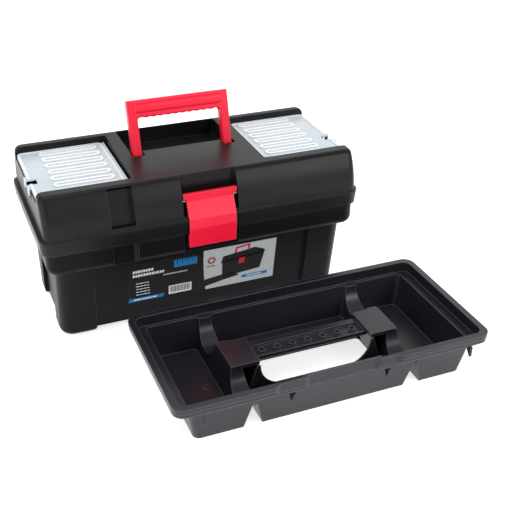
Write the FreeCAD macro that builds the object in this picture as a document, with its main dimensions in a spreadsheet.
"""Moulded 16 inch toolbox with a lift-out tray.

The box stands closed on the floor with its front towards -Y, and the tray, lifted out, stands in front
of it. The origin is on the floor, under the middle of the pair. Every piece is drawn about its own
centre line and then placed. Lengths are millimetres, +Z is up and the floor is z = 0.
"""
import FreeCAD, Part
import math
import os
import Sketcher
from FreeCAD import Rotation, Vector

DIMENSIONS = {
    # shared
    "wall": 2.6,
    "play": 0.5,
    "turning_play": 0.1,
    "pin_play": 0.06,
    "gap_line": 2.2,
    "box_across": -31.35,
    "box_back": 109.65,
    # base
    "parting_height": 134.5,
    "ledge_height": 112,
    "skirt_length": 405,
    "skirt_width": 200,
    "skirt_height": 29.5,
    "skirt_corner": 15,
    "skirt_roll": 11,
    "base_length": 382,
    "base_width": 182,
    "foot_width": 145,
    "base_corner": 18,
    "room_corner": 12,
    "pillar_ease": 1,
    "foot_round": 11,
    "foot_lift": 6,
    "panel_left": -146,
    "panel_right": 142,
    "panel_recess": 5,
    "end_panel_span": 76,
    "lip_height": 3.5,
    "lip_inset": 2.2,
    "gap_depth": 6,
    "side_gap_left": -123,
    "side_gap_right": -97,
    "skirt_rib_width": 1.2,
    "skirt_rib_pitch": 3,
    "skirt_rib_rise": 0.7,
    "skirt_rib_start": 4,
    "catch_height": 127,
    "catch_rise": 3,
    "label_left": -104,
    "label_right": 98,
    "label_low": 31,
    "label_high": 96,
    "label_thickness": 0.35,
    # lid
    "rim_length": 416,
    "rim_width": 205,
    "rim_band": 20,
    "rim_crown": 4,
    "rim_taper": 1.1,
    "rim_ease": 1,
    "rim_corner": 16,
    "lid_length": 406,
    "lid_width": 201,
    "top_height": 206,
    "top_width": 168,
    "lid_bulge": 95,
    "lid_swell": 4.4,
    "lid_corner": 10,
    "lid_edge": 8,
    "bin_inner": 85,
    "bin_front": -68.5,
    "bin_back": 72.5,
    "bin_floor": 167,
    "bin_end": 200,
    "bin_corner": 3,
    "sill_height": 191.5,
    "well_half": 69,
    "well_front": 5,
    "well_back": 81,
    "well_floor": 184,
    "slot_front": -9,
    "slot_inner": 53,
    "recess_left": -123,
    "recess_right": -93,
    "recess_low": 158,
    "recess_high": 199,
    "recess_back": 80.5,
    "recess_depth": 10,
    # rear hinge
    "hinge_back": 105.2,
    "hinge_height": 136,
    "knuckle_radius": 4.5,
    "knuckle_length": 14,
    "eye_root": 2,
    "hinge_spread": 240,
    "pin_radius": 1.5,
    # handle
    "handle_width": 134,
    "handle_leg": 12,
    "handle_depth": 12,
    "handle_bend": 4,
    "handle_ease": 1.6,
    "handle_reach": 78.5,
    "grip_height": 22,
    "grip_depth": 17,
    "grip_start": 3,
    "grip_round": 8,
    "grip_bump": 11,
    "grip_pitch": 9.6,
    "grip_bumps": 10,
    "handle_lean": 16,
    "pivot_back": 1.5,
    "pivot_height": 192.5,
    "pivot_radius": 3,
    # latch
    "latch_centre": 2.3,
    "latch_width": 61,
    "latch_ears": 69,
    "latch_recess": 72,
    "latch_pin_front": 91.5,
    "latch_pin_height": 175.5,
    "latch_pin_radius": 1.6,
    "latch_pin_grip": 2,
    "latch_head": 10,
    "latch_bend_front": 105.6,
    "latch_bend_height": 155.5,
    "latch_chin_front": 106.8,
    "latch_chin_height": 143,
    "latch_foot_front": 104.2,
    "latch_low": 117,
    "hook_half": 20,
    "hook_height": 8.5,
    "hook_clear": 3.6,
    # organizer covers
    "cover_level": 195.5,
    "cover_plate": 2,
    "cover_outer": 201.5,
    "cover_drop": 4.5,
    "cover_inner": 92,
    "cover_pivot": 88.5,
    "cover_corner": 7,
    "cover_border": 3.2,
    "cover_lip": 1.6,
    "clip_centre": -17,
    "clip_gap": 14,
    "clip_width": 10,
    "clip_reach": 205,
    "clip_drop": 10,
    "rib_count": 7,
    "rib_pitch": 19.2,
    "rib_width": 12.5,
    "rib_rise": 1.4,
    "rib_line": 4,
    "rib_inset": 8,
    "rib_end": 26,
    "cover_pin_radius": 1.6,
    # tray
    "tray_across": 42.35,
    "tray_back": -123.35,
    "tray_length": 394,
    "tray_width": 192,
    "tray_height": 58,
    "tray_wall": 2,
    "flange_width": 8,
    "flange_depth": 11,
    "lip_step": 0.8,
    "tray_corner": 14,
    "tray_body_length": 358,
    "tray_body_width": 174,
    "tray_foot_length": 341,
    "tray_foot_width": 158,
    "tray_ledge": 44,
    "bin_foot_corner": 8,
    "divider_place": 101.5,
    "divider_top": 44,
    "divider_width": 13,
    "divider_gap": 22.5,
    "divider_gap_top": 38,
    "gap_point": 1.5,
    "saddle_radius": 27,
    "saddle_span": 26.8,
    "saddle_half": 7.2,
    "saddle_back": 52,
    "saddle_front": -55,
    "platform_inner": 72,
    "platform_outer": 108,
    "platform_front": -28,
    "platform_back": 21,
    "platform_top": 45,
    "platform_corner": 3,
    "strip_half": 15,
    "strip_top": 41,
    "strip_thickness": 5,
    "strip_rail": 8,
    "low_wall": 9,
    "socket_count": 7,
    "socket_pitch": 20,
    "socket_radius": 4.6,
    "socket_bore": 3.1,
    "hole_half": 86,
    "hole_front": -28,
    "hole_back": 26,
    "hole_corner": 5,
    "hole_bend": 32,
    "hole_ramp": 22,
    "scoop_left": -36,
    "scoop_right": 43,
    "scoop_bend": 10,
    "scoop_left_shelf": 28,
    "scoop_right_shelf": 16,
    "slot_left": -57,
    "slot_right": 64,
    "slot_width": 9.5,
    "slot_low": 21.5,
    "slot_high": 36.5,
    "front_rib_place": -159,
    "front_rib_radius": 2.2,
    "dimple_inset": 50.3,
    "dimple_radius": 4,
    "gusset_front": -56,
    "gusset_back": 54,
    "gusset_thickness": 3,
    "gusset_drop": 9,
    "front_web_place": 172,
    "front_web_drop": 13,
}

doc = FreeCAD.newDocument("toolbox_with_tray")
sheet = doc.addObject("Spreadsheet::Sheet", "sizes")
for row, (alias, number) in enumerate(DIMENSIONS.items(), start=1):
    sheet.set(f"A{row}", alias)
    sheet.set(f"B{row}", f"{number:g}")
    sheet.setAlias(f"B{row}", alias)
doc.recompute()


class Size:
    """A length held twice: as a number, and as the sheet expression that the model is bound to."""

    def __init__(self, number, text):
        self.number = number
        self.text = text

    def __add__(self, other):
        other = as_size(other)
        return Size(self.number + other.number, f"({self.text} + {other.text})")

    def __sub__(self, other):
        other = as_size(other)
        return Size(self.number - other.number, f"({self.text} - {other.text})")

    def __mul__(self, factor):
        factor = as_size(factor)
        return Size(self.number * factor.number, f"({self.text} * {factor.text})")

    def __truediv__(self, divisor):
        divisor = as_size(divisor)
        return Size(self.number / divisor.number, f"({self.text} / {divisor.text})")

    def __neg__(self):
        return Size(-self.number, f"(0 - {self.text})")

    def __radd__(self, other):
        return as_size(other) + self

    def __rsub__(self, other):
        return as_size(other) - self

    def __rmul__(self, other):
        return as_size(other) * self


def as_size(value):
    if isinstance(value, Size):
        return value
    return Size(float(value), f"({value:.10g})")


def between(first, second):
    """The two lengths, the lower one first."""
    return sorted((as_size(first), as_size(second)), key=lambda size: size.number)


def square_root(size):
    return Size(math.sqrt(size.number), f"sqrt({size.text})")


class Dimensions:
    """Looks a driving dimension up by its alias."""

    def __getattr__(self, alias):
        return Size(float(DIMENSIONS[alias]), f"sizes.{alias}")


d = Dimensions()


# ---------------------------------------------------------------- sketches


def sketch_on(body, name, role, start):
    """An empty sketch parallel to one of the body's own origin planes, at a distance along its normal."""
    sketch = body.newObject("Sketcher::SketchObject", name)
    plane = next(f for f in body.Origin.OriginFeatures if f.Role == role)
    sketch.AttachmentSupport = [(plane, "")]
    sketch.MapMode = "FlatFace"
    sketch.setExpression("AttachmentOffset.Base.z", as_size(start).text)
    return sketch


def bind(sketch, name, kind, *where, size):
    """Adds one dimension to the sketch and binds it to the sheet."""
    size = as_size(size)
    index = sketch.addConstraint(Sketcher.Constraint(kind, *where, size.number))
    sketch.renameConstraint(index, name)
    sketch.setExpression(f"Constraints.{name}", size.text)


def polygon(*corners, arcs=None):
    """Draws straight sides between corners. arcs gives a side's radius; a negative one bends right."""
    arcs = arcs or {}

    def draw(sketch):
        points = [Vector(as_size(x).number, as_size(y).number, 0) for x, y in corners]
        sides = []
        for i, start in enumerate(points):
            end = points[(i + 1) % len(points)]
            if i in arcs:
                sides.append(sketch.addGeometry(arc_side(start, end, as_size(arcs[i]).number)))
            else:
                sides.append(sketch.addGeometry(Part.LineSegment(start, end)))
        begins = [1 if i not in arcs or arcs_forward(arcs[i]) else 2 for i in range(len(points))]
        for i, side in enumerate(sides):
            following = (i + 1) % len(sides)
            sketch.addConstraint(
                Sketcher.Constraint("Coincident", side, 3 - begins[i], sides[following], begins[following])
            )
        for i, (x, y) in enumerate(corners):
            bind(sketch, f"across_{i}", "DistanceX", -1, 1, sides[i], begins[i], size=x)
            bind(sketch, f"up_{i}", "DistanceY", -1, 1, sides[i], begins[i], size=y)
        for i, radius in arcs.items():
            radius = as_size(radius)
            size = radius if radius.number > 0 else -radius
            bind(sketch, f"radius_{i}", "Radius", sides[i], size=size)

    return draw


def arcs_forward(radius):
    return as_size(radius).number > 0


def arc_side(start, end, radius):
    """An arc from start to end, less than half a turn: anticlockwise when radius is positive."""
    chord = end - start
    half = chord.Length / 2
    height = math.sqrt(radius * radius - half * half)
    left = Vector(-chord.y, chord.x, 0).normalize()
    side = 1 if radius > 0 else -1
    centre = (start + end) * 0.5 + left * (height * side)
    circle = Part.Circle(centre, Vector(0, 0, 1), abs(radius))
    from_angle = math.atan2(start.y - centre.y, start.x - centre.x)
    to_angle = math.atan2(end.y - centre.y, end.x - centre.x)
    if radius > 0:
        return Part.ArcOfCircle(circle, from_angle, to_angle)
    return Part.ArcOfCircle(circle, to_angle, from_angle)


def rectangle(x0, x1, y0, y1):
    return polygon((x0, y0), (x1, y0), (x1, y1), (x0, y1))


def rounded(x0, x1, y0, y1, radius, tag=""):
    """Draws a rectangle with four equal rounded corners."""
    x0, x1, y0, y1, radius = (as_size(value) for value in (x0, x1, y0, y1, radius))

    def draw(sketch):
        left, right, low, high, r = (size.number for size in (x0, x1, y0, y1, radius))
        flats = [
            ((left + r, low), (right - r, low)),
            ((right, low + r), (right, high - r)),
            ((right - r, high), (left + r, high)),
            ((left, high - r), (left, low + r)),
        ]
        centres = [(right - r, low + r), (right - r, high - r), (left + r, high - r), (left + r, low + r)]
        lines = [sketch.addGeometry(Part.LineSegment(Vector(*a), Vector(*b))) for a, b in flats]
        bends = []
        for turn, centre in enumerate(centres):
            circle = Part.Circle(Vector(*centre), Vector(0, 0, 1), r)
            begin = math.pi / 2 * (turn - 1)
            bends.append(sketch.addGeometry(Part.ArcOfCircle(circle, begin, begin + math.pi / 2)))
        for i in range(4):
            sketch.addConstraint(Sketcher.Constraint("Tangent", lines[i], 2, bends[i], 1))
            sketch.addConstraint(Sketcher.Constraint("Tangent", bends[i], 2, lines[(i + 1) % 4], 1))
            sketch.addConstraint(Sketcher.Constraint("Vertical" if i % 2 else "Horizontal", lines[i]))
        for bend in bends[1:]:
            sketch.addConstraint(Sketcher.Constraint("Equal", bends[0], bend))
        bind(sketch, f"{tag}corner", "Radius", bends[0], size=radius)
        bind(sketch, f"{tag}left", "DistanceX", -1, 1, lines[3], 1, size=x0)
        bind(sketch, f"{tag}right", "DistanceX", -1, 1, lines[1], 1, size=x1)
        bind(sketch, f"{tag}low", "DistanceY", -1, 1, lines[0], 1, size=y0)
        bind(sketch, f"{tag}high", "DistanceY", -1, 1, lines[2], 1, size=y1)

    return draw


def circle(across, up, radius):
    def draw(sketch):
        number = as_size(radius).number
        centre = Vector(as_size(across).number, as_size(up).number, 0)
        ring = sketch.addGeometry(Part.Circle(centre, Vector(0, 0, 1), number))
        bind(sketch, "radius", "Radius", ring, size=radius)
        bind(sketch, "across", "DistanceX", -1, 1, ring, 3, size=across)
        bind(sketch, "up", "DistanceY", -1, 1, ring, 3, size=up)

    return draw


# ---------------------------------------------------------------- features


def new_body(label, x=d.box_across, y=d.box_back, z=0):
    """An empty body whose own origin stands at x, y, z: at the box's centre unless told otherwise."""
    body = doc.addObject("PartDesign::Body", label)
    body.Label = label
    for axis, size in zip("xyz", (x, y, z)):
        body.setExpression(f"Placement.Base.{axis}", as_size(size).text)
    return body


def extrude(body, name, role, start, end, draw, kind="Pad"):
    """Pads, or with kind="Pocket" cuts, a sketch from start to end along its plane's normal."""
    start, end = as_size(start), as_size(end)
    sketch = sketch_on(body, f"{name}_sketch", role, start)
    draw(sketch)
    feature = body.newObject(f"PartDesign::{kind}", name)
    feature.Profile = sketch
    feature.setExpression("Length", (end - start).text)
    feature.Reversed = kind == "Pocket"
    sketch.Visibility = False
    return feature


def cut(body, name, role, start, end, draw):
    return extrude(body, name, role, start, end, draw, kind="Pocket")


def loft(body, name, *sections, kind="AdditiveLoft"):
    """A loft through horizontal sketches, each given as a height and a drawing: straight if only two."""
    sketches = []
    for i, (height, draw) in enumerate(sections):
        sketch = sketch_on(body, f"{name}_section_{i}", "XY_Plane", height)
        draw(sketch)
        sketch.Visibility = False
        sketches.append(sketch)
    feature = body.newObject(f"PartDesign::{kind}", name)
    feature.Profile = sketches[0]
    feature.Sections = sketches[1:]
    feature.Ruled = len(sketches) == 2
    return feature


def fillet(body, name, radius, choose):
    """Rounds those edges of the body so far that choose(edge) accepts."""
    doc.recompute()
    tip = body.Tip
    names = [f"Edge{i}" for i, edge in enumerate(tip.Shape.Edges, start=1) if choose(edge)]
    feature = body.newObject("PartDesign::Fillet", name)
    feature.Base = (tip, names)
    feature.setExpression("Radius", as_size(radius).text)
    return feature


def row_of(body, name, original, axis, pitch, count):
    """Repeats a feature at an even pitch along one of the body's axes."""
    row = body.newObject("PartDesign::LinearPattern", name)
    row.Originals = [original]
    row.Direction = (next(f for f in body.Origin.OriginFeatures if f.Role == axis), [""])
    row.setExpression("Length", (pitch * (count - 1)).text)
    row.Occurrences = int(count.number)
    row.setExpression("Occurrences", count.text)
    body.Tip = row


def flat_at(height):
    """Chooses the edges that lie in one horizontal plane."""
    number = as_size(height).number

    def choose(edge):
        box = edge.BoundBox
        return abs(box.ZMin - number) < 0.01 and abs(box.ZMax - number) < 0.01

    return choose


# ---------------------------------------------------------------- base


def panel_line(height, inset):
    """How far forward the drafted front or rear wall reaches at a height."""
    slope = (d.base_width - d.foot_width) / (2 * d.ledge_height)
    return d.foot_width / 2 + slope * height - inset


def band(length, width, radius):
    return rounded(-length / 2, length / 2, -width / 2, width / 2, radius)


def make_base():
    body = new_body("base_shell")
    skirt_low = d.parting_height - d.skirt_height
    rim = d.parting_height - d.gap_line / 2
    extrude(
        body, "skirt", "XY_Plane", skirt_low, rim,
        band(d.skirt_length, d.skirt_width, d.skirt_corner),
    )
    fillet(body, "skirt_roll", d.skirt_roll, flat_at(skirt_low))
    loft(
        body, "walls",
        (0, band(d.base_length, d.foot_width, d.base_corner)),
        (d.ledge_height, band(d.base_length, d.base_width, d.base_corner)),
    )
    fillet(body, "feet_round", d.foot_round, flat_at(0))
    for side, name in ((-1, "front"), (1, "rear")):
        outline = polygon(
            (side * panel_line(0, d.panel_recess), 0),
            (side * panel_line(skirt_low, d.panel_recess), skirt_low),
            (side * d.skirt_width, skirt_low),
            (side * d.skirt_width, 0),
        )
        cut(body, f"{name}_panel", "YZ_Plane", d.panel_left, d.panel_right, outline)
    end_span = d.end_panel_span / 2
    for side, name in ((-1, "left"), (1, "right")):
        inner = side * (d.base_length / 2 - d.panel_recess)
        outline = rectangle(inner, side * d.skirt_length, 0, skirt_low)
        cut(body, f"{name}_end_panel", "XZ_Plane", -end_span, end_span, outline)
    lift = d.foot_lift
    under_front = polygon(
        (d.panel_left - lift, 0), (d.panel_right + lift, 0), (d.panel_right, lift), (d.panel_left, lift)
    )
    cut(body, "under_front", "XZ_Plane", -d.base_width, d.base_width, under_front)
    under_end = polygon(
        (-end_span - lift, 0), (end_span + lift, 0), (end_span, lift), (-end_span, lift)
    )
    cut(body, "under_end", "YZ_Plane", -d.base_length, d.base_length, under_end)
    base_rooms(body, rim)
    front_gaps(body, skirt_low, rim)
    base_eyes(body, skirt_low)
    return body


def base_rooms(body, rim):
    """The room inside: the wide top that takes the tray's flange, the deep middle, and the pillars."""
    lip_length = d.skirt_length - 2 * d.lip_inset
    lip_width = d.skirt_width - 2 * d.lip_inset
    lip_top = rim + d.lip_height
    extrude(body, "lip", "XY_Plane", rim, lip_top, band(lip_length, lip_width, d.skirt_corner - d.lip_inset))
    top_wall = d.wall + d.lip_inset / 2
    cut(
        body, "wide_room", "XY_Plane", d.ledge_height, lip_top,
        band(d.skirt_length - 2 * top_wall, d.skirt_width - 2 * top_wall, d.skirt_corner - top_wall),
    )
    floor = d.foot_lift + d.wall
    loft(
        body, "deep_room",
        (floor, deep_outline(floor)), (d.ledge_height, deep_outline(d.ledge_height)),
        kind="SubtractiveLoft",
    )
    corner_rooms(body, floor)


def deep_outline(height):
    inset = d.panel_recess + d.wall
    half = d.base_length / 2 - inset
    reach = panel_line(height, inset)
    return rounded(-half, half, -reach, reach, d.room_corner)


def corner_rooms(body, floor):
    """Hollows the four pillars out to the wall's own thickness."""
    x1 = d.base_length / 2 - d.wall
    y0 = d.end_panel_span / 2 + d.wall
    corner = d.base_corner - d.wall - d.pillar_ease
    for side_x, edge in ((-1, -d.panel_left), (1, d.panel_right)):
        xs = between(side_x * (edge + d.wall), side_x * x1)
        for side_y in (-1, 1):
            sections = []
            for height in (floor, d.ledge_height):
                ys = between(side_y * y0, side_y * panel_line(height, d.wall))
                sections.append((height, rounded(*xs, *ys, corner)))
            name = f"pillar_room_{side_x + 1}{side_y + 1}"
            loft(body, name, *sections, kind="SubtractiveLoft")


def front_gaps(body, low, rim):
    """Sets the skirt back where the latch hangs and below the recess in the lid's front."""
    skirt_face = d.skirt_width / 2
    face = skirt_face - d.gap_depth
    half = d.latch_recess / 2
    wall = d.wall
    spans_x = {
        "latch_gap": (d.latch_centre - half, d.latch_centre + half),
        "side_gap": (d.side_gap_left, d.side_gap_right),
    }
    for name, (x0, x1) in spans_x.items():
        behind = rectangle(-face, -face + wall, d.ledge_height - 1, rim + d.lip_height)
        extrude(body, f"{name}_wall", "YZ_Plane", x0 - wall, x1 + wall, behind)
        cheek = rectangle(-skirt_face + d.lip_inset / 2, -face + wall, d.ledge_height, rim)
        extrude(body, f"{name}_left_cheek", "YZ_Plane", x0 - wall, x0, cheek)
        extrude(body, f"{name}_right_cheek", "YZ_Plane", x1, x1 + wall, cheek)
        front = rectangle(-d.skirt_width, -face, low - 1, rim + d.lip_height + 1)
        cut(body, name, "YZ_Plane", x0, x1, front)
    rib = rectangle(-skirt_face - d.skirt_rib_rise, -skirt_face + 1, low + d.skirt_rib_start, rim)
    for i in range(2):
        edge = d.side_gap_right + d.skirt_rib_pitch * i + d.skirt_rib_width
        extrude(body, f"skirt_rib_{i}", "YZ_Plane", edge, edge + d.skirt_rib_width, rib)
    catch = rectangle(-face - d.catch_rise, -face, d.catch_height, d.catch_height + d.catch_rise)
    reach = d.hook_half + d.play
    extrude(body, "latch_catch", "YZ_Plane", d.latch_centre - reach, d.latch_centre + reach, catch)


def base_eyes(body, skirt_low):
    """The base's hinge eyes: one at each end of both hinge pins, joined to the skirt by a web."""
    root = d.skirt_width / 2 - d.eye_root
    back = d.hinge_back + d.knuckle_radius
    web = polygon(
        (root, skirt_low + d.skirt_roll + 1),
        (back, d.hinge_height - d.eye_root),
        (back, d.hinge_height),
        (d.hinge_back - d.eye_root, d.hinge_height),
        (root, d.parting_height - d.gap_line),
    )
    ring = circle(d.hinge_back, d.hinge_height, d.knuckle_radius)
    bore = circle(d.hinge_back, d.hinge_height, d.pin_radius)
    for place in (-1, 1):
        for side in (-1, 1):
            centre = place * d.hinge_spread / 2 + side * (d.knuckle_length + d.play)
            xs = (centre - d.knuckle_length / 2, centre + d.knuckle_length / 2)
            name = f"base_eye_{place + 1}{side + 1}"
            extrude(body, f"{name}_web", "YZ_Plane", *xs, web)
            extrude(body, name, "YZ_Plane", *xs, ring)
            cut(body, f"{name}_bore", "YZ_Plane", *xs, bore)


def make_hinge_pin(place, label):
    body = new_body(label)
    centre = place * d.hinge_spread / 2
    reach = 1.5 * d.knuckle_length + d.play + 1
    pin = circle(d.hinge_back, d.hinge_height, d.pin_radius)
    extrude(body, "wire", "YZ_Plane", centre - reach, centre + reach, pin)
    return body


def make_label():
    body = new_body("front_label")
    face = d.panel_recess
    thick = d.label_thickness
    outline = polygon(
        (-panel_line(d.label_low, face), d.label_low),
        (-panel_line(d.label_high, face), d.label_high),
        (-panel_line(d.label_high, face) - thick, d.label_high),
        (-panel_line(d.label_low, face) - thick, d.label_low),
    )
    extrude(body, "film", "YZ_Plane", d.label_left, d.label_right, outline)
    return body


# ---------------------------------------------------------------- lid


def lid_profile(low):
    """The lid's outside across its width, seen from the end: bulging front and back, flat on top."""
    foot = d.lid_width / 2
    head = d.top_width / 2
    return polygon(
        (-foot, low), (foot, low), (head, d.top_height), (-head, d.top_height),
        arcs={1: d.lid_bulge, 3: d.lid_bulge},
    )


def lid_room(low):
    """Outlines of the lid's inside at three heights, a wall's thickness within the outside."""
    high = d.top_height - d.wall
    length = d.lid_length - 2 * d.wall
    foot = d.lid_width - 2 * d.wall
    head = d.top_width - 2 * d.wall + 1
    widths = ((low, foot), ((low + high) / 2, (foot + head) / 2 + 2 * d.lid_swell), (high, head))
    return [(height, band(length, width, d.lid_corner - d.wall)) for height, width in widths]


def make_lid():
    body = new_body("lid_shell")
    low = d.parting_height + d.gap_line / 2
    ridge = d.parting_height + d.rim_band
    half = d.lid_length / 2
    extrude(body, "bulge", "YZ_Plane", -half, half, lid_profile(ridge))

    def corner(edge):
        return edge.BoundBox.ZLength > 10 and abs(abs(edge.CenterOfMass.x) - half.number) < 0.01

    fillet(body, "corners", d.lid_corner, corner)
    fillet(body, "top_edge", d.lid_edge, flat_at(d.top_height))
    crown = ridge - d.rim_crown
    extrude(body, "rim_crown", "XY_Plane", crown, ridge, band(d.rim_length, d.rim_width, d.rim_corner))

    def rim_edge(edge):
        box = edge.BoundBox
        reach = max(box.XMax, -box.XMin) > d.rim_length.number / 2 - 0.1
        reach = reach or max(box.YMax, -box.YMin) > d.rim_width.number / 2 - 0.1
        return flat_at(ridge)(edge) and reach

    fillet(body, "rim_ease", d.rim_ease, rim_edge)
    taper = 2 * d.rim_taper
    loft(
        body, "rim_skirt",
        (low, band(d.rim_length - taper, d.rim_width - taper, d.rim_corner)),
        (crown, band(d.rim_length, d.rim_width, d.rim_corner)),
    )
    cut(
        body, "rim_room", "XY_Plane", low, crown,
        band(d.rim_length - 2 * d.wall, d.rim_width - 2 * d.wall, d.rim_corner - d.wall),
    )
    loft(body, "upper_room", *lid_room(crown - d.play), kind="SubtractiveLoft")
    lid_bins(body)
    lid_well(body)
    latch_recess(body, ridge)
    side_recess(body)
    lid_eyes(body)
    return body


def lid_bins(body):
    """The two organizer bins in the top, open towards the ends of the box."""
    top = d.top_height
    for side, name in ((-1, "left"), (1, "right")):
        inner = side * d.bin_inner
        end = side * d.bin_end
        tub = rectangle(d.bin_front - d.wall, d.bin_back + d.wall, d.bin_floor - d.wall, top - 1)
        extrude(body, f"{name}_tub", "YZ_Plane", *between(inner - side * d.wall, end), tub)
        room = rounded(*between(inner, end), d.bin_front, d.bin_back, d.bin_corner)
        cut(body, f"{name}_bin", "XY_Plane", d.bin_floor, top, room)
        xs = between(side * (d.bin_end - d.lid_corner), side * d.rim_length)
        cut(body, f"{name}_sill", "XY_Plane", d.sill_height, top, rectangle(*xs, d.bin_front, d.bin_back))
        clip_room = d.clip_gap / 2 + d.clip_width + 3 * d.play
        notch = rectangle(
            d.clip_centre - clip_room, d.clip_centre + clip_room, d.sill_height - d.clip_drop, d.sill_height
        )
        cut(body, f"{name}_notch", "YZ_Plane", *xs, notch)
        eye = circle(side * d.cover_pivot, d.cover_level, d.cover_pin_radius + d.turning_play)
        depth = d.wall + d.play
        for wall_y, sign in ((d.bin_front, -1), (d.bin_back, 1)):
            ys = between(-wall_y + sign * d.bin_corner / 2, -wall_y - sign * depth)
            cut(body, f"{name}_cover_eye_{sign + 1}", "XZ_Plane", *ys, eye)


def lid_well(body):
    """The well that the folded handle drops into, with a slot at each front corner for its leg."""
    top = d.top_height
    wall = d.wall
    tub = rectangle(d.slot_front - wall, d.well_back + wall, d.well_floor - wall, top - 1)
    extrude(body, "well_tub", "YZ_Plane", -d.well_half - wall, d.well_half + wall, tub)
    cut(
        body, "well", "XY_Plane", d.well_floor, top,
        rectangle(-d.well_half, d.well_half, d.well_front, d.well_back),
    )
    bore = circle(d.pivot_back, d.pivot_height, d.pivot_radius + d.turning_play)
    for side, name in ((-1, "left"), (1, "right")):
        xs = between(side * d.slot_inner, side * d.well_half)
        cut(
            body, f"{name}_leg_slot", "XY_Plane", d.well_floor, top,
            rectangle(*xs, d.slot_front, d.well_front),
        )
        reach = between(side * d.well_half, side * (d.well_half + wall + 2 * d.turning_play))
        cut(body, f"{name}_handle_bore", "YZ_Plane", *reach, bore)


def latch_recess(body, ridge):
    """The latch's recess in the middle of the front, with bores at both ends for its pin."""
    half = d.latch_recess / 2
    x0 = d.latch_centre - half
    x1 = d.latch_centre + half
    wall = d.wall
    back = -d.recess_back
    beyond = -d.rim_width
    above = d.rim_width * 2
    skin = wall / 2
    head = d.top_height - skin
    boss = polygon(
        (-d.rim_width / 2 + wall, ridge - wall), (back + wall, ridge - wall),
        (back + wall, head), (-d.top_width / 2 + skin, head),
        (-d.lid_width / 2 + skin, ridge),
        arcs={3: d.lid_bulge},
    )
    extrude(body, "latch_boss", "YZ_Plane", x0 - wall, x1 + wall, boss)
    hollow = polygon((back, ridge + d.rim_crown), (beyond, ridge), (beyond, above), (back, above))
    cut(body, "latch_recess", "YZ_Plane", x0, x1, hollow)
    bore = circle(-d.latch_pin_front, d.latch_pin_height, d.latch_pin_radius)
    cut(body, "latch_pin_bore", "YZ_Plane", x0 - d.latch_pin_grip, x1 + d.latch_pin_grip, bore)


def side_recess(body):
    """The plain recess in the front, to the left of the latch."""
    wall = d.wall
    foot = -d.lid_width / 2
    deep = foot + d.recess_depth
    head = -d.recess_back + wall
    boss = polygon(
        (foot + wall / 2, d.recess_low - wall), (deep + wall, d.recess_low - wall),
        (head + wall, d.recess_high), (-d.recess_back - wall, d.recess_high),
    )
    extrude(body, "side_boss", "YZ_Plane", d.recess_left - wall, d.recess_right + wall, boss)
    top = d.recess_high + 2 * wall
    hollow = polygon((deep, d.recess_low), (-d.rim_width, d.recess_low), (-d.rim_width, top), (head, top))
    cut(body, "side_recess", "YZ_Plane", d.recess_left, d.recess_right, hollow)


def lid_eyes(body):
    """The lid's hinge eyes, between the base's, and the room that the base's eyes need."""
    room = circle(d.hinge_back, d.hinge_height, d.knuckle_radius + d.play)
    root = d.rim_width / 2 - 1
    back = d.hinge_back + d.knuckle_radius
    web = polygon(
        (root, d.hinge_height + 1),
        (back, d.hinge_height),
        (back, d.hinge_height + d.eye_root),
        (root, d.parting_height + d.rim_band - d.rim_crown),
    )
    eye = circle(d.hinge_back, d.hinge_height, d.knuckle_radius)
    bore = circle(d.hinge_back, d.hinge_height, d.pin_radius + d.pin_play)
    half = d.knuckle_length / 2
    for place, name in ((-1, "left"), (1, "right")):
        centre = place * d.hinge_spread / 2
        for side in (-1, 1):
            middle = centre + side * (d.knuckle_length + d.play)
            xs = (middle - half - d.play, middle + half + d.play)
            cut(body, f"{name}_eye_room_{side + 1}", "YZ_Plane", *xs, room)
        xs = (centre - half, centre + half)
        extrude(body, f"{name}_eye_web", "YZ_Plane", *xs, web)
        extrude(body, f"{name}_eye", "YZ_Plane", *xs, eye)
        cut(body, f"{name}_eye_bore", "YZ_Plane", *xs, bore)


# ---------------------------------------------------------------- handle, latch and covers


def on_broad_face(edge):
    """Chooses the outline edges of the bow's front and back faces."""
    box = edge.BoundBox
    depth = d.handle_depth.number / 2
    return box.YLength < 0.01 and abs(abs(box.YMin) - depth) < 0.01 and box.ZMax > 1


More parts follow.
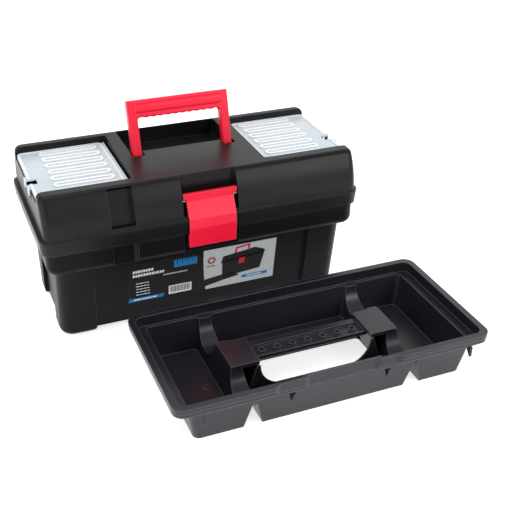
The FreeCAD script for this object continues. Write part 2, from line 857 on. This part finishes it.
def make_handle():
    """A rectangular bow leaning back from its two pivots, drawn upright about them."""
    body = new_body("carrying_handle", y=d.box_back + d.pivot_back, z=d.pivot_height)
    half = d.handle_width / 2
    leg = half - d.handle_leg
    deep = d.handle_depth / 2
    under = d.handle_reach - d.grip_height
    bend = d.handle_bend
    bow = polygon(
        (-half, 0), (-leg, 0), (-leg, under - bend), (-leg + bend, under),
        (leg - bend, under), (leg, under - bend), (leg, 0), (half, 0),
        (half, d.handle_reach), (-half, d.handle_reach),
        arcs={2: -bend, 4: -bend},
    )
    extrude(body, "bow", "XZ_Plane", -deep, deep, bow)
    fillet(body, "soft_edges", d.handle_ease, on_broad_face)
    for side, name in ((-1, "left"), (1, "right")):
        extrude(body, f"{name}_foot", "YZ_Plane", *between(side * leg, side * half), circle(0, 0, deep))
    grip_half = d.grip_depth / 2
    grip = rounded(-grip_half, grip_half, under + d.grip_start, d.handle_reach, d.grip_round)
    extrude(body, "grip", "YZ_Plane", -leg - 2, leg + 2, grip)
    first = -d.grip_pitch * (d.grip_bumps - 1) / 2
    bump = extrude(
        body, "bump", "XZ_Plane", -grip_half / 2, grip_half / 2,
        circle(first, under + d.grip_bump - 1, d.grip_bump),
    )
    row_of(body, "bumps", bump, "X_Axis", d.grip_pitch, d.grip_bumps)
    stub_end = d.well_half + d.wall - 3 * d.turning_play
    for side, name in ((-1, "left"), (1, "right")):
        xs = between(side * (half - 1), side * stub_end)
        extrude(body, f"{name}_pivot", "YZ_Plane", *xs, circle(0, 0, d.pivot_radius))
    body.Placement.Rotation = Rotation(Vector(-1, 0, 0), d.handle_lean.number)
    body.setExpression("Placement.Rotation.Angle", d.handle_lean.text)
    return body


def make_latch():
    """The latch's plate follows the lid's front down over the parting line."""
    body = new_body("front_latch")
    x0 = d.latch_centre - d.latch_width / 2
    x1 = d.latch_centre + d.latch_width / 2
    pin = -d.latch_pin_front
    high = d.latch_pin_height
    wall = d.wall
    head = high + d.latch_head
    bend = -d.latch_bend_front
    chin = -d.latch_chin_front
    foot = -d.latch_foot_front
    inner = [
        (pin - wall / 2, head), (pin - wall / 2, high),
        (bend + wall, d.latch_bend_height), (chin + wall, d.latch_chin_height), (foot + wall, d.latch_low),
    ]
    outer = [(y - wall, z) for y, z in inner]
    plate = polygon(*outer, *reversed(inner))
    extrude(body, "plate", "YZ_Plane", x0, x1, plate)
    ears0 = d.latch_centre - d.latch_ears / 2
    ears1 = d.latch_centre + d.latch_ears / 2
    front = pin - wall * 1.5
    ear = rectangle(front, pin + d.play, high + d.latch_pin_radius + 2, head)
    extrude(body, "ears", "YZ_Plane", ears0, ears1, ear)
    barrel = circle(pin, high, d.latch_pin_radius + 2)
    extrude(body, "barrel", "YZ_Plane", x0, x1, barrel)
    lid_front = -d.lid_width / 2 + wall
    ridge = d.parting_height + d.rim_band + d.rim_crown
    upper = polygon((pin, high), (front, high), (bend + wall, ridge), (lid_front, ridge))
    skirt = -d.skirt_width / 2 + 1
    hook_high = d.latch_low + d.hook_height
    cheek_high = hook_high + d.hook_height - 1
    lower = polygon(
        (chin + wall, cheek_high), (foot + wall / 2, d.latch_low + 1),
        (skirt, d.latch_low + 1), (skirt + 1, cheek_high),
    )
    for side, name in ((-1, "left"), (1, "right")):
        middle = d.latch_centre + side * (d.latch_width / 2 - wall / 2)
        xs = (middle - wall / 2, middle + wall / 2)
        extrude(body, f"{name}_upper_cheek", "YZ_Plane", *xs, upper)
        extrude(body, f"{name}_lower_cheek", "YZ_Plane", *xs, lower)
    hook_tip = -d.skirt_width / 2 + d.gap_depth - d.hook_clear
    hook = polygon(
        (foot + 1, d.latch_low + 2), (hook_tip, hook_high - 2), (hook_tip, hook_high), (foot + 1, hook_high)
    )
    extrude(body, "hook", "YZ_Plane", d.latch_centre - d.hook_half, d.latch_centre + d.hook_half, hook)
    bore = circle(pin, high, d.latch_pin_radius + d.pin_play)
    cut(body, "bore", "YZ_Plane", ears0 - 1, ears1 + 1, bore)
    return body


def make_latch_pin():
    body = new_body("latch_pin")
    half = d.latch_recess / 2 + d.latch_pin_grip
    pin = circle(-d.latch_pin_front, d.latch_pin_height, d.latch_pin_radius)
    extrude(body, "wire", "YZ_Plane", d.latch_centre - half, d.latch_centre + half, pin)
    return body


def make_cover(side, label):
    """A ribbed lid for one organizer bin, hinged along its inner edge and clipped at its outer end."""
    body = new_body(label)
    low = d.cover_level - d.cover_plate / 2
    high = d.cover_level + d.cover_plate / 2
    y0 = d.bin_front + d.play
    y1 = d.bin_back - d.play
    outer = d.cover_outer

    def across(near, far):
        return between(side * near, side * far)

    sheet_xs = across(d.cover_inner - 1, outer)
    extrude(body, "plate", "XY_Plane", low, high, rounded(*sheet_xs, y0, y1, d.cover_corner))
    border = d.cover_border
    extrude(body, "border", "XY_Plane", high, high + 1, rounded(*sheet_xs, y0, y1, d.cover_corner))
    inside = across(d.cover_inner - 1 + border, outer - border)
    room = rounded(*inside, y0 + border, y1 - border, d.cover_corner - border)
    cut(body, "border_room", "XY_Plane", high, high + 1, room)
    cover_ribs(body, high, across)
    clip_low = d.clip_centre - d.clip_gap / 2
    clip_high = d.clip_centre + d.clip_gap / 2
    notch_xs = across(outer - d.clip_width, outer + 1)
    notch = rectangle(*notch_xs, clip_low, clip_high)
    cut(body, "clip_notch", "XY_Plane", low - 1, high + 2, notch)
    skin = d.cover_lip
    hooks = ((clip_low - d.clip_width, clip_low), (clip_high, clip_high + d.clip_width))
    for i, ys in enumerate(hooks):
        arm = rectangle(*across(outer - 2 * skin, d.clip_reach), *ys)
        extrude(body, f"clip_arm_{i}", "XY_Plane", low, high, arm)
        drop = rectangle(*across(d.clip_reach - skin, d.clip_reach), *ys)
        extrude(body, f"clip_drop_{i}", "XY_Plane", high - d.clip_drop, high, drop)
    lips = ((y0 + d.cover_corner, hooks[0][0]), (hooks[1][1], y1 - d.cover_corner))
    for i, ys in enumerate(lips):
        lip = rectangle(*across(outer - skin, outer), *ys)
        extrude(body, f"end_lip_{i}", "XY_Plane", high - d.cover_drop, high, lip)
    cover_hinge(body, side * d.cover_pivot, across(d.cover_pivot, d.cover_inner + 1), (y0 + 1, y1 - 1))
    return body


def cover_ribs(body, high, across):
    """The cover's raised rings: long and narrow, each round a shallow channel."""
    xs = across(d.cover_inner + d.rib_inset, d.cover_outer - d.rib_end)
    middle = (d.bin_front + d.bin_back) / 2
    start = middle - (d.rib_count - 1) / 2 * d.rib_pitch
    half = d.rib_width / 2
    line = d.rib_line
    ease = 0.3

    def ring(sketch):
        rounded(*xs, start - half, start + half, half - ease, tag="outer_")(sketch)
        inner_xs = (xs[0] + line, xs[1] - line)
        inner_half = half - line
        rounded(*inner_xs, start - inner_half, start + inner_half, inner_half - ease, tag="inner_")(sketch)

    rib = extrude(body, "rib", "XY_Plane", high - ease, high + d.rib_rise, ring)
    row_of(body, "ribs", rib, "Y_Axis", d.rib_pitch, d.rib_count)


def cover_hinge(body, pivot, arm_xs, ys):
    """The cover's hinge barrel, its arm, and a thinner stub at both ends."""
    low = d.cover_level - d.cover_plate / 2
    arm = rectangle(*arm_xs, *ys)
    extrude(body, "hinge_arm", "XY_Plane", low, low + d.cover_plate, arm)
    barrel = circle(pivot, d.cover_level, d.cover_pin_radius)
    extrude(body, "hinge_barrel", "XZ_Plane", -ys[1], -ys[0], barrel)
    stub = circle(pivot, d.cover_level, d.cover_pin_radius - d.turning_play / 2)
    reach = 1 + d.wall
    extrude(body, "front_stub", "XZ_Plane", -ys[0] - 1, -ys[0] + reach, stub)
    extrude(body, "back_stub", "XZ_Plane", -ys[1] - reach, -ys[1] + 1, stub)


# ---------------------------------------------------------------- tray


def make_tray():
    """One moulding: a flanged rim, three bins parted by hollow dividers, and a carrying strip."""
    body = new_body("lift_out_tray", d.tray_across, d.tray_back)
    top = d.tray_height
    under = top - d.flange_depth
    loft(
        body, "bins",
        (0, band(d.tray_foot_length, d.tray_foot_width, d.bin_foot_corner)),
        (under, band(d.tray_body_length, d.tray_body_width, d.bin_foot_corner + d.tray_wall)),
    )
    flange(body, under, top)
    divider_gaps(body)
    bin_rooms(body)
    saddles(body)
    platforms(body)
    strip(body)
    tray_front(body, under, top)
    gussets(body)
    return body


def flange(body, under, top):
    """The rim above the bins: an upright wall on a ledge, and a turned-down lip outside it."""
    wall = d.tray_wall
    inner = d.flange_width
    step = d.lip_step
    lip_half = top - d.flange_depth / 2
    room = (d.tray_length - 2 * inner, d.tray_width - 2 * inner)
    corner = d.tray_corner - wall
    extrude(
        body, "rim_wall", "XY_Plane", d.tray_ledge - wall, top,
        band(room[0] + 2 * wall, room[1] + 2 * wall, corner),
    )
    extrude(
        body, "lip_low", "XY_Plane", under, lip_half,
        band(d.tray_length - 2 * step, d.tray_width - 2 * step, d.tray_corner - step),
    )
    extrude(body, "lip_high", "XY_Plane", lip_half, top, band(d.tray_length, d.tray_width, d.tray_corner))

    def ring(sketch):
        outer_x = d.tray_length / 2 - step - wall
        outer_y = d.tray_width / 2 - step - wall
        inner_x = room[0] / 2 + wall
        inner_y = room[1] / 2 + wall
        rounded(-outer_x, outer_x, -outer_y, outer_y, corner, tag="outer_")(sketch)
        rounded(-inner_x, inner_x, -inner_y, inner_y, corner - wall, tag="inner_")(sketch)

    cut(body, "lip_groove", "XY_Plane", under, top - wall, ring)
    cut(body, "rim_room", "XY_Plane", d.tray_ledge, top, band(room[0], room[1], corner - wall))


def divider_gaps(body):
    """The dividers are hollow from below; the hollow shows as a pointed gap in the outer walls."""
    half = d.divider_gap / 2
    point = d.gap_point
    for side in (-1, 1):
        centre = side * d.divider_place
        wedge = polygon(
            (centre - half, 0), (centre + half, 0),
            (centre + point, d.divider_gap_top), (centre - point, d.divider_gap_top),
        )
        cut(body, f"divider_gap_{side + 1}", "XZ_Plane", -d.tray_width / 2, d.tray_width / 2, wedge)


def bin_rooms(body):
    """The three bins, each drafted on all sides, cut down to the floor."""
    wall = d.tray_wall
    gap = d.divider_gap / 2 + wall
    crest = d.divider_width / 2
    foot_y = d.tray_foot_width / 2 - wall
    top_y = d.tray_body_width / 2 - wall - 1
    foot_x = d.tray_foot_length / 2 - wall
    top_x = d.tray_body_length / 2 - wall - 1
    place = d.divider_place
    outlines = {
        "left": ((-foot_x, -place - gap), (-top_x, -place - crest)),
        "middle": ((-place + gap, place - gap), (-place + crest, place - crest)),
        "right": ((place + gap, foot_x), (place + crest, top_x)),
    }
    corner = d.bin_foot_corner - wall
    for name, (foot, head) in outlines.items():
        loft(
            body, f"{name}_bin",
            (wall, rounded(*foot, -foot_y, foot_y, corner)),
            (d.tray_ledge, rounded(*head, -top_y, top_y, corner)),
            kind="SubtractiveLoft",
        )


def saddles(body):
    """Each divider dips in a round saddle behind and in front of its platform."""
    radius = d.saddle_radius
    lower = radius + d.tray_wall
    span = d.saddle_span
    crest = d.divider_top
    rise = square_root(radius * radius - span * span)
    drop = square_root(lower * lower - span * span)
    for side in (-1, 1):
        centre = side * d.divider_place
        reach = d.divider_width
        for name, middle in (("back", d.saddle_back), ("front", d.saddle_front)):
            round_cut = circle(middle, crest, radius)
            cut(body, f"saddle_{name}_{side + 1}", "YZ_Plane", centre - reach, centre + reach, round_cut)
            skin = polygon(
                (middle - span, crest - drop), (middle + span, crest - drop),
                (middle + span, crest - rise), (middle - span, crest - rise),
                arcs={0: lower, 2: -radius},
            )
            xs = (centre - d.saddle_half, centre + d.saddle_half)
            extrude(body, f"saddle_skin_{name}_{side + 1}", "YZ_Plane", *xs, skin)


def platforms(body):
    """The two raised blocks that carry the strip, over a finger hole in the middle bin's floor."""
    top = d.platform_top
    wall = d.tray_wall
    for side in (-1, 1):
        xs = between(side * d.platform_inner, side * d.platform_outer)
        plate = rounded(*xs, d.platform_front, d.platform_back, d.platform_corner)
        extrude(body, f"platform_{side + 1}", "XY_Plane", top - d.strip_thickness, top, plate)
        near = side * d.platform_inner
        far = side * d.hole_half
        slant = side * (wall + d.play)
        end_wall = polygon((near, top - 1), (far, 0.5), (far + slant, 0.5), (near + slant, top - 1))
        extrude(body, f"end_wall_{side + 1}", "XZ_Plane", -d.strip_half, -d.platform_front, end_wall)


def strip(body):
    """The strip between the platforms, with its row of sockets, and the walls round the finger hole."""
    wall = d.tray_wall
    half = d.platform_inner + wall
    wide = d.strip_half
    top = d.strip_top
    under = top - d.strip_thickness
    extrude(body, "strip", "YZ_Plane", -half, half, rectangle(-wide, wide, under, top))
    channel_back = wide - d.strip_rail
    channel = rectangle(-wide + wall, channel_back, under + wall, top)
    cut(body, "strip_channel", "YZ_Plane", -half + 2 * wall, half - 2 * wall, channel)
    far = d.hole_half + wall
    back_wall = polygon(
        (wide - wall, top - 1), (wide, top - 1), (d.hole_back + wall, 0.5), (d.hole_back, 0.5)
    )
    extrude(body, "back_wall", "YZ_Plane", -far, far, back_wall)
    shoulder = d.platform_top - d.strip_thickness - 1
    bend = d.hole_bend
    low_wall = polygon(
        (-far, 0.5), (far, 0.5), (half + wall, shoulder), (half - wall, shoulder),
        (half - d.hole_ramp, d.low_wall), (-half + d.hole_ramp, d.low_wall),
        (-half + wall, shoulder), (-half - wall, shoulder),
        arcs={3: -bend, 5: -bend},
    )
    extrude(body, "front_wall", "XZ_Plane", -d.hole_front, -d.hole_front + wall, low_wall)
    hole = rounded(-d.hole_half, d.hole_half, d.hole_front, d.hole_back, d.hole_corner)
    cut(body, "finger_hole", "XY_Plane", -1, wall + 1, hole)
    first = -d.socket_pitch * (d.socket_count - 1) / 2
    middle = (wall - d.strip_rail) / 2
    ring = extrude(body, "socket", "XY_Plane", under, top, circle(first, middle, d.socket_radius))
    row_of(body, "sockets", ring, "X_Axis", d.socket_pitch, d.socket_count)
    seat = circle(first, middle, d.socket_bore)
    bore = cut(body, "socket_bore", "XY_Plane", under - 1, top, seat)
    row_of(body, "socket_bores", bore, "X_Axis", d.socket_pitch, d.socket_count)


def bend_between(start, end):
    """The middle point and the radius of an S-bend from start to end, level at both ends."""
    run = end[0] - start[0]
    rise = end[1] - start[1]
    middle = ((start[0] + end[0]) / 2, (start[1] + end[1]) / 2)
    return middle, (run * run + rise * rise) / (4 * rise)


def tray_front(body, under, top):
    """The flange swings in over the middle of the front, over two pointed slots in the wall."""
    wall = d.tray_wall
    edge = -d.tray_width / 2
    face = -d.tray_body_width / 2
    shelf = (edge + face) / 2
    left, right, bend = d.scoop_left, d.scoop_right, d.scoop_bend
    far_left = left - 2 * bend - d.scoop_left_shelf
    far_right = right + 2 * bend + d.scoop_right_shelf
    filling = rectangle(far_left, far_right, edge + d.lip_step, edge + d.flange_width)
    extrude(body, "scoop_filling", "XY_Plane", under, top, filling)
    backing = rectangle(left - bend, right + bend, face - wall, face + wall)
    extrude(body, "scoop_wall", "XY_Plane", d.tray_ledge - wall, top, backing)
    stops = [
        (far_left, edge), (far_left + bend, shelf), (left - bend, shelf), (left, face),
        (right, face), (right + bend, shelf), (far_right - bend, shelf), (far_right, edge),
    ]
    corners = []
    arcs = {}
    for start, end in zip(stops[::2], stops[1::2]):
        middle, radius = bend_between(start, end)
        arcs[len(corners)] = radius
        arcs[len(corners) + 1] = -radius
        corners += [start, middle, end]
    corners += [(far_right, edge - 1), (far_left, edge - 1)]
    cut(body, "front_scoop", "XY_Plane", d.tray_ledge - wall - 1, top + 1, polygon(*corners, arcs=arcs))
    half = d.slot_width / 2
    for i, middle in enumerate((d.slot_left, d.slot_right)):
        slot = polygon((middle - half, d.slot_high), (middle, d.slot_low), (middle + half, d.slot_high))
        cut(body, f"front_slot_{i}", "XZ_Plane", d.tray_foot_width / 2, d.tray_width / 2, slot)
    rib = circle(d.front_rib_place, face + 2, d.front_rib_radius)
    extrude(body, "front_rib", "XY_Plane", d.slot_low + 2, d.slot_high + 2, rib)
    dimple = circle(-d.tray_body_length / 2 + d.dimple_inset, -d.play, d.dimple_radius)
    extrude(body, "gate_mark", "XY_Plane", wall / 2, wall + 1, dimple)


def gussets(body):
    """Small pointed webs under the flange, two at each end and one in front."""
    low = d.tray_ledge - d.tray_wall + d.play
    foot = d.tray_body_length / 2 - d.tray_wall
    outer = d.tray_length / 2 - d.flange_width + d.tray_wall
    thick = d.gusset_thickness
    for side in (-1, 1):
        for i, y in enumerate((d.gusset_front, d.gusset_back)):
            web = polygon(
                (side * foot, low - thick), (side * (outer - thick), low - d.gusset_drop),
                (side * outer, low - d.gusset_drop), (side * outer, low), (side * foot, low),
            )
            extrude(body, f"gusset_{side + 1}{i}", "XZ_Plane", -y - thick / 2, -y + thick / 2, web)
    wall_y = -d.tray_body_width / 2 + thick
    lip_y = -d.tray_width / 2 + d.lip_step + d.tray_wall
    tip = low - d.front_web_drop
    front_web = polygon(
        (wall_y, low - thick), (lip_y + thick / 2, tip), (lip_y, tip), (lip_y, low), (wall_y, low)
    )
    xs = (d.front_web_place - thick / 2, d.front_web_place + thick / 2)
    extrude(body, "front_web", "YZ_Plane", *xs, front_web)


# ---------------------------------------------------------------- hand-in

pieces = [
    make_base(),
    make_label(),
    make_hinge_pin(-1, "hinge_pin_left"),
    make_hinge_pin(1, "hinge_pin_right"),
    make_lid(),
    make_handle(),
    make_latch(),
    make_latch_pin(),
    make_cover(-1, "organizer_cover_left"),
    make_cover(1, "organizer_cover_right"),
    make_tray(),
]
doc.recompute()
for item in doc.Objects:
    if "Invalid" in item.State or "Error" in item.State:
        raise RuntimeError(f"{item.Label}: {item.State}")
os.makedirs("parts", exist_ok=True)
for piece in pieces:
    if piece.Shape.isNull() or not piece.Shape.isValid():
        raise RuntimeError(f"{piece.Label} has no valid shape")
    piece.Shape.exportStep(f"parts/{piece.Label}.step")
